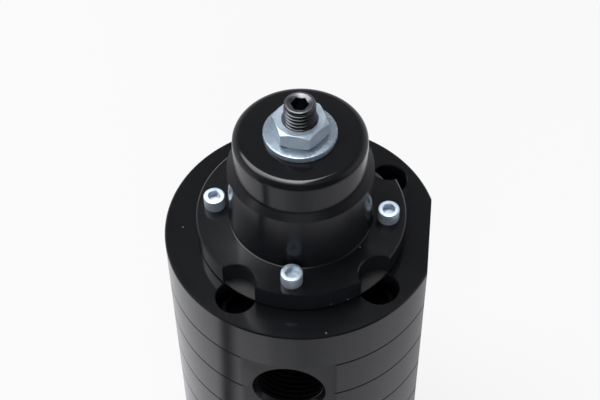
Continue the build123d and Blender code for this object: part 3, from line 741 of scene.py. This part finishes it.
# Motor housing: a bored tube under a web, a milled pad for the terminals at the back
motor_profile = [(motor_bore_r, z_motor)] + wall_with_rings(z_motor, z_pump)
motor_profile += [(web_bore_r, z_pump), (web_bore_r, seal_bore_z), (seal_bore_r, seal_bore_z),
                  (seal_bore_r, web_z), (motor_bore_r, web_z)]
pad = block(pad_w, pad_cut, pad_h, (0, port_flat_y + pad_cut / 2, terminal_z))
pad_corners = [e for e in pad.edges if abs(e.verts[0].co.y - e.verts[1].co.y) > 1 * MM]
bmesh.ops.bevel(pad, geom=pad_corners, offset=pad_corner_r * MM, affect="EDGES", segments=8,
                profile=0.5, material=-1)
sleeve_bores = [moved(laid(plug(sleeve_bore_r, 0, 30, 48), "X", -90), x, sleeve_end, terminal_z)
                for x in (-terminal_x, terminal_x)]
motor = milled(
    flatten(lathe(motor_profile), (flat_x, 0, 0), (1, 0, 0)),
    [
        pad,
        joined(sleeve_bores),
        drills(bolt_spots, bolt_r + 0.05, z_pump - 26, z_pump + 1),
        drills(bolt_spots, bolt_r + 0.05, z_motor - 1, z_motor + 14),
        mounting_taps(motor_tap_z),
    ],
)
finished(motor, "motor_housing_turned", "motor_housing", anodised)

# Base cap: spigot on top, counterbores for the base screws underneath
base_profile = [(body_r - base_break, 0)]
base_profile += wall_with_rings(0, z_motor, low_break=base_break)[1:]
base_profile += [(spigot_r, z_motor), (spigot_r, groove_low), (groove_r, groove_low),
                 (groove_r, groove_high), (spigot_r, groove_high), (spigot_r, spigot_z),
                 (bushing_bore_r, spigot_z), (bushing_bore_r, bushing_bore_z)]
base_sinks = [moved(laid(plug(bolt_bore_r, -base_sink, 0, 72, bore_break), "X", 180), *spot)
              for spot in bolt_spots]
base = milled(
    flatten(lathe(base_profile, closed=False), (flat_x, 0, 0), (1, 0, 0)),
    [joined(base_sinks), drills(bolt_spots, bolt_clear, 1, z_motor + 1)],
)
finished(base, "base_cap_turned", "base_cap", anodised)

# Bonnet: flange with four notches, neck with a short cone up to a rounded cap, bored inside
bonnet_profile = [(spring_bore_r, z_flange), (flange_r, z_flange)]
bonnet_profile += [(flange_r, z_flange_top - edge_break), (flange_r - edge_break, z_flange_top)]
bonnet_profile += arc(neck_r + neck_round, z_flange_top + neck_round, neck_round, 270, 180, 5)
bonnet_profile += [(neck_r, z_ledge - neck_cone_h), (cap_r - 0.15, z_ledge + 0.1),
                   (cap_r, z_ledge + 0.3)]
bonnet_profile += arc(cap_r - cap_round, z_cap - cap_round, cap_round, 0, 90, 14)
bonnet_profile += [(screw_r + 0.6, z_cap), (screw_r + 0.05, z_cap - 0.6), (screw_r + 0.05, z_roof)]
bonnet_profile += [(spring_bore_r, z_roof)]
bonnet = milled(
    lathe(bonnet_profile, 256),
    [
        drills(bolt_spots, notch_r, z_flange - 1, z_flange_top, 96, 0.4),
        drills(flange_screw_spots, flange_screw_r + 0.3, z_flange - 1, z_flange_top + 0.1, 32),
    ],
)
finished(bonnet, "bonnet_turned", "bonnet", anodised)

# Diaphragm between the bonnet and the top plate, seen in the notches
skin = lathe([(diaphragm_bore_r, z_top), (diaphragm_r - 0.1, z_top), (diaphragm_r, z_top + 0.15),
              (diaphragm_r, z_flange - 0.15), (diaphragm_r - 0.1, z_flange),
              (diaphragm_bore_r, z_flange)])
skin = milled(skin, [drills(flange_screw_spots, flange_screw_r + 0.3, z_top - 1, z_flange + 1, 32)])
finished(skin, "diaphragm_fabric", "diaphragm", fabric)


# ---------------------------------------------------------------- fasteners
def raised(bm, rise, scale=1.0):
    """Extrude the top face upwards by rise, and scale it about the axis."""
    top = max(bm.faces, key=lambda face: face.calc_center_median().z)
    lifted = bmesh.ops.extrude_face_region(bm, geom=[top])["geom"]
    verts = [v for v in lifted if isinstance(v, bmesh.types.BMVert)]
    bmesh.ops.delete(bm, geom=[top], context="FACES_ONLY")
    bmesh.ops.translate(bm, verts=verts, vec=(0, 0, rise * MM))
    bmesh.ops.scale(bm, verts=verts, vec=(scale, scale, 1))


def knurled_head(radius, height, ridges, round_r):
    """A cap screw head with a finely knurled side, a rounded rim and a plain flat top."""
    bm = bmesh.new()
    bmesh.ops.create_circle(bm, cap_ends=True, radius=radius * MM, segments=4 * ridges)
    bm.verts.index_update()
    for vert in bm.verts:
        if vert.index % 4 in (0, 1):
            vert.co *= 1 - 0.018
    raised(bm, height - round_r)
    reach = radius
    for angle in [n * pi / 12 for n in range(1, 7)]:
        now = max(v.co.z for v in bm.verts) / MM
        narrower = radius - round_r * (1 - cos(angle))
        raised(bm, height - round_r + round_r * sin(angle) - now, narrower / reach)
        reach = narrower
    bmesh.ops.recalc_face_normals(bm, faces=bm.faces)
    return bm


def ridged_shank(radius, length, pitch, low_break):
    """The hidden shank of a screw, its thread drawn as plain rings."""
    line = [(0, -length), (radius - low_break, -length)]
    level = -length + low_break
    while level < -length / 3:
        line += [(radius, level), (radius - 0.6 * pitch, level + pitch / 2)]
        level += pitch
    return lathe(line + [(radius, level), (radius, 0.3), (0, 0.3)], 32, closed=False)


def cap_screw(head_r, head_h, shank_r, length, socket, socket_depth, ridges, pitch):
    """A socket head cap screw standing on z = 0, its shank downwards."""
    head = knurled_head(head_r, head_h, ridges, head_h * 0.09)
    sink = lathe([(0, head_h - 0.6 * socket), (0.6 * socket, head_h),
                  (0.6 * socket, head_h + 1), (0, head_h + 1)], 48, closed=False)
    head = milled(head, [prism(socket, head_h - socket_depth, head_h + 1, 10), sink])
    return joined([head, ridged_shank(shank_r, length, pitch, 0.8)])


def placed(screw, points, level, turns, flip=0):
    """Copies of one screw at several points, each with its own turn."""
    copies = [moved(laid(laid(screw.copy(), "Z", turn), "X", flip), x, y, level)
              for (x, y), turn in zip(points, turns)]
    screw.free()
    return joined(copies)


flange_screw = cap_screw(flange_screw_head_r, flange_screw_head_h, flange_screw_r,
                         flange_screw_len, flange_screw_socket, flange_screw_socket_depth, 34,
                         flange_screw_pitch)
screws = placed(flange_screw, flange_screw_spots, z_flange_top, (0, 35, 12, 22))
finished(screws, "flange_screws_knurled", "flange_screws", head_zinc_painted_light, 40)

body_bolt = cap_screw(bolt_head_r, bolt_head_h, bolt_r, bolt_len, bolt_socket,
                      bolt_socket_depth, 40, bolt_pitch)
bolts = placed(body_bolt, bolt_spots, z_top - bolt_sink, (5, 40, 20, 55))
finished(bolts, "body_bolts_knurled", "body_bolts", black_oxide_painted_shade, 40)

base_screw = cap_screw(bolt_head_r, bolt_head_h, bolt_r, base_screw_len, bolt_socket,
                       bolt_socket_depth, 40, bolt_pitch)
base_bolts = placed(base_screw, bolt_spots, base_sink, (10, 0, 35, 50), flip=180)
finished(base_bolts, "base_screws_knurled", "base_screws", black_oxide_painted_shade, 40)

# Washer with one edge rounded by the press
washer = lathe([(washer_bore_r, z_cap), (washer_r, z_cap)]
               + arc(washer_r - 0.5, z_washer - 0.5, 0.5, 0, 90, 5)
               + [(washer_bore_r + 0.3, z_washer), (washer_bore_r, z_washer - 0.3)])
finished(washer, "flat_washer_pressed", "flat_washer", zinc)


def hexagon_nut(flats, low, height, bore, turn, corner):
    """A hexagon nut with both ends chamfered and a countersunk bore."""
    reach = flats / sqrt(3)
    high = low + height
    blank = prism(flats, low, high, turn)
    turned = lathe([(0, low), (flats / 2 - 0.2, low), (reach, low + corner),
                    (reach, high - corner), (flats / 2 - 0.2, high), (0, high)], 128, closed=False)
    nut = milled(blank, [turned], "INTERSECT")
    hole = lathe([(bore + 0.8, low - 1), (bore + 0.8, low), (bore, low + 0.8), (bore, high - 0.8),
                  (bore + 0.8, high), (bore + 0.8, high + 1)], 96, closed=False)
    return milled(nut, [hole])


nut = hexagon_nut(nut_flats, z_washer, z_nut - z_washer, screw_r + 0.05, nut_turn, 0.9)
finished(nut, "jam_nut_chamfered", "jam_nut", nut_zinc_painted_light, 20)

# Adjusting screw: thread, a rounded upper end with a deep hexagon socket, a chamfered lower end
low = z_screw - screw_len
rod = threaded_rod(screw_r - 0.65 * screw_pitch, screw_r, screw_pitch, low, z_screw - 1.0, 72)
drawn_in(rod, lambda z: screw_r - 1.0 + z - low)
end = lathe([(0, z_screw - 1.5), (screw_r - 0.7, z_screw - 1.5), (screw_r - 0.15, z_screw - 1.1)]
            + arc(screw_r - 0.95, z_screw - 0.8, 0.8, 0, 90, 8) + [(0, z_screw)], 96, closed=False)
rod = milled(rod, [end], "UNION")
sink = lathe([(0, z_screw - 2.2), (4.2, z_screw), (4.2, z_screw + 1), (0, z_screw + 1)], 64,
             closed=False)
rod = milled(rod, [prism(screw_socket, z_screw - screw_socket_depth, z_screw + 1), sink])
finished(rod, "adjusting_screw_threaded", "adjusting_screw", black_oxide, 32)


# ---------------------------------------------------------------- terminals
def outward(bm, side):
    """A piece turned along +Z, laid to point out of the back at the left or right terminal."""
    return moved(laid(bm, "X", -90), side * terminal_x, 0, terminal_z)


first_nut = insulator_face + terminal_washer_t
second_washer = first_nut + terminal_nut_h
second_nut = second_washer + terminal_washer_t
terminal_bore_r = terminal_shank_r + 0.02
for side, label in ((-1, "left"), (1, "right")):
    sleeve = [(terminal_bore_r, sleeve_end), (sleeve_r, sleeve_end), (sleeve_r, port_flat_y),
              (insulator_r, port_flat_y), (insulator_r, insulator_face - insulator_round)]
    sleeve += arc(insulator_r - insulator_round, insulator_face - insulator_round, insulator_round,
                  0, 90, 6)
    sleeve += [(terminal_bore_r, insulator_face)]
    finished(outward(lathe(sleeve, 96), side), f"terminal_insulator_{label}_moulded",
             f"terminal_insulator_{label}", phenolic)
    shank = lathe([(0, stud_head_end), (stud_head_r - 0.2, stud_head_end),
                   (stud_head_r, stud_head_end + 0.2), (stud_head_r, sleeve_end),
                   (terminal_shank_r, sleeve_end), (terminal_shank_r, terminal_shank_end - 0.2),
                   (terminal_shank_r - 0.2, terminal_shank_end), (0, terminal_shank_end)], 64,
                  closed=False)
    pin = threaded_rod(terminal_pin_r - 0.6 * terminal_pitch, terminal_pin_r, terminal_pitch,
                       terminal_shank_end - 0.3, terminal_end, 48)
    drawn_in(pin, lambda z: terminal_pin_r - 0.6 + terminal_end - z)
    stud = milled(shank, [pin], "UNION")
    finished(outward(stud, side), f"terminal_stud_{label}_threaded", f"terminal_stud_{label}",
             brass)

washers = []
nuts = []
for side in (-1, 1):
    for low in (insulator_face, second_washer):
        rim = [(terminal_bore_r, low), (terminal_washer_r, low)]
        rim += arc(terminal_washer_r - 0.3, low + terminal_washer_t - 0.3, 0.3, 0, 90, 4)
        rim += [(terminal_bore_r, low + terminal_washer_t)]
        washers.append(outward(lathe(rim, 72), side))
    for low, turn in ((first_nut, 8), (second_nut, 31)):
        nut = hexagon_nut(terminal_nut_flats, low, terminal_nut_h, terminal_bore_r, turn, 0.5)
        nuts.append(outward(nut, side))
finished(joined(washers), "terminal_washers_pressed", "terminal_washers", brass)
finished(joined(nuts), "terminal_nuts_chamfered", "terminal_nuts", brass, 20)


# ---------------------------------------------------------------- studio
floor_mesh = bmesh.new()
bmesh.ops.create_grid(floor_mesh, x_segments=1, y_segments=1, size=6)
floor = as_object(floor_mesh, "floor")
floor_paint = bpy.data.materials.new("white_table")
floor_paint.use_nodes = True
tree = floor_paint.node_tree
tree.nodes.clear()
matt = add(tree, "ShaderNodeBsdfDiffuse", Color=linear("#E6E6E6"))
seen = add(tree, "ShaderNodeLightPath")


def light_ramp(tree, source, output, stops):
    """Grey brightness over stops of (position, level)."""
    node = add(tree, "ShaderNodeValToRGB", links={"Fac": (source, output)})
    points = node.color_ramp.elements
    while len(points) < len(stops):
        points.new(0.5)
    for point, (position, level) in zip(points, stops):
        point.position = position
        point.color = (level, level, level * 1.04, 1)
    return node


def product(tree, first, second):
    """Two outputs multiplied, each given as (node, output)."""
    return add(tree, "ShaderNodeMath", {"operation": "MULTIPLY"}, {0: first, 1: second})


def scaled(tree, source, output, factor):
    """An output multiplied by a plain number."""
    node = add(tree, "ShaderNodeMath", {"operation": "MULTIPLY"}, {0: (source, output)})
    node.inputs[1].default_value = factor
    return node


# What polished walls mirror: the table by bearing, 0.25 being the front, and a dark room beyond it
around = add(tree, "ShaderNodeTexCoord")
bearing = add(tree, "ShaderNodeTexGradient", {"gradient_type": "RADIAL"},
              {"Vector": (around, "Object")})
near_table = light_ramp(tree, bearing, "Fac", (
    (0.0, 1.03), (0.078, 1.06), (0.086, 0.78), (0.098, 0.18), (0.109, 0.18), (0.119, 0.5),
    (0.132, 0.95), (0.19, 1.0), (0.21, 0.8), (0.25, 0.7), (0.27, 0.6), (0.3, 0.67), (0.34, 0.78),
    (0.44, 0.8), (0.5, 0.69), (0.56, 0.65), (0.6, 0.8), (0.63, 1.1), (0.9, 0.85), (1.0, 1.03)))
open_side = light_ramp(tree, bearing, "Fac", (
    (0.0, 0.9), (0.08, 0.7), (0.16, 0.0), (0.4, 0.0), (0.5, 0.6), (0.56, 1.0), (1.0, 0.9)))
reach = add(tree, "ShaderNodeVectorMath", {"operation": "LENGTH"}, {0: (around, "Object")})
close_by = level_between(tree, reach, "Value", 0.28, 0.75, 1.0, 0.0)
lit = add(tree, "ShaderNodeMath", {"operation": "MAXIMUM"},
          {0: (open_side, "Color"), 1: (close_by, "Result")})
table = add(tree, "ShaderNodeMixRGB", {"blend_type": "MULTIPLY"},
            {"Color1": (near_table, "Color"), "Color2": (lit, "Value")}, Fac=1.0)
mirrored_table = add(tree, "ShaderNodeEmission", links={"Color": (table, "Color")}, Strength=1.0)
paper = add(tree, "ShaderNodeEmission", Strength=1.0)
shine = add(tree, "ShaderNodeMixShader", links={
    0: (seen, "Is Glossy Ray"), 1: (matt, "BSDF"), 2: (mirrored_table, "Emission")})
straight = add(tree, "ShaderNodeMath", {"operation": "MAXIMUM"},
               {0: (seen, "Is Camera Ray"), 1: (seen, "Is Transmission Ray")})
share = scaled(tree, straight, "Value", 0.8)
blend = add(tree, "ShaderNodeMixShader", links={
    0: (share, "Value"), 1: (shine, "Shader"), 2: (paper, "Emission")})
add(tree, "ShaderNodeOutputMaterial", links={"Surface": (blend, "Shader")})
floor.data.materials.append(floor_paint)

world = bpy.data.worlds.new("studio")
bpy.context.scene.world = world
world.use_nodes = True
tree = world.node_tree
tree.nodes.clear()
way = add(tree, "ShaderNodeTexCoord")
up = add(tree, "ShaderNodeSeparateXYZ", links={"Vector": (way, "Generated")})
dark_room = light_ramp(tree, up, "Z", ((0.0, 0.0), (0.79, 0.0), (0.84, 0.95), (1.0, 1.0)))
bright_room = light_ramp(tree, up, "Z", (
    (0.3, 0.9), (0.5, 0.65), (0.7, 0.32), (0.76, 0.24), (1.0, 0.24)))
towards_window = add(tree, "ShaderNodeVectorMath", {"operation": "DOT_PRODUCT"},
                     {0: (way, "Generated")})
towards_window.inputs[1].default_value = (-0.139, 0.99, 0)
facing = level_between(tree, towards_window, "Value", -0.7, -0.1)
room = add(tree, "ShaderNodeMixRGB", links={
    "Fac": (facing, "Result"), "Color1": (dark_room, "Color"), "Color2": (bright_room, "Color")})

# The softbox overhead as polished surfaces mirror it, by slope to the side and to the back
glare_level = 14.0
seen = add(tree, "ShaderNodeLightPath")
slopes = [add(tree, "ShaderNodeMath", {"operation": "DIVIDE"}, {0: (up, axis), 1: (up, "Z")})
          for axis in ("X", "Y")]
sideways = level_between(tree, slopes[0], "Value", -1.3, 0.2, kind="LINEAR")
box = light_ramp(tree, sideways, "Result", (
    (0.07, 0.0), (0.2, 0.52), (0.63, 0.58), (0.79, 1.0), (0.88, 1.0), (0.94, 0.0)))
above = level_between(tree, up, "Z", 0.4, 0.5)
patch = product(tree, (box, "Color"), (above, "Result"))
for outer, inner in ((-0.5, 0.15), (0.62, 0.5)):
    rim = level_between(tree, slopes[1], "Value", outer, inner)
    patch = product(tree, (patch, "Value"), (rim, "Result"))
glare = product(tree, (patch, "Value"), (seen, "Is Glossy Ray"))
glare = scaled(tree, glare, "Value", glare_level)
mirrored = add(tree, "ShaderNodeMixRGB", {"blend_type": "ADD"},
               {"Color1": (room, "Color"), "Color2": (glare, "Value")}, Fac=1.0)
soft = add(tree, "ShaderNodeMixRGB",
           links={"Fac": (seen, "Is Diffuse Ray"), "Color1": (mirrored, "Color")},
           Color2=(0.35, 0.35, 0.36, 1))
white = add(tree, "ShaderNodeMixRGB",
            links={"Fac": (seen, "Is Camera Ray"), "Color1": (soft, "Color")}, Color2=(1, 1, 1, 1))
back = add(tree, "ShaderNodeBackground", links={"Color": (white, "Color")}, Strength=1.0)
add(tree, "ShaderNodeOutputWorld", links={"Surface": (back, "Background")})


def softbox(name, width, depth, place, aim, watts):
    """A rectangular studio softbox, its place and aim in millimetres."""
    lamp = bpy.data.lights.new(name, "AREA")
    lamp.shape = "RECTANGLE"
    lamp.size = width * MM
    lamp.size_y = depth * MM
    lamp.energy = watts
    holder = bpy.data.objects.new(name, lamp)
    bpy.context.scene.collection.objects.link(holder)
    holder.location = Vector(place) * MM
    holder.rotation_euler = (Vector(aim) - Vector(place)).to_track_quat("-Z", "Y").to_euler()
    holder.visible_glossy = False


softbox("overhead_softbox", 1080, 900, (-550, 190, 1500), (0, 0, 200), 16)
softbox("front_fill", 900, 500, (100, -1100, 420), (0, 0, 200), 7)

# The photograph's camera, placed, aimed and rolled as its outlines ask
camera = bpy.data.objects.new("camera", bpy.data.cameras.new("camera"))
bpy.context.scene.collection.objects.link(camera)
camera.location = Vector((36.97, -323.37, 576.92)) * MM
view = Vector((-0.07345, 0.63589, -0.76829)).to_track_quat("-Z", "Y")
camera.rotation_euler = (view.to_matrix() @ Matrix.Rotation(radians(-0.80), 3, "Z")).to_euler()
camera.data.sensor_width = 36
camera.data.lens = 83.88
camera.data.clip_start = 0.01
bpy.context.scene.camera = camera

bpy.context.scene.view_settings.view_transform = "Standard"
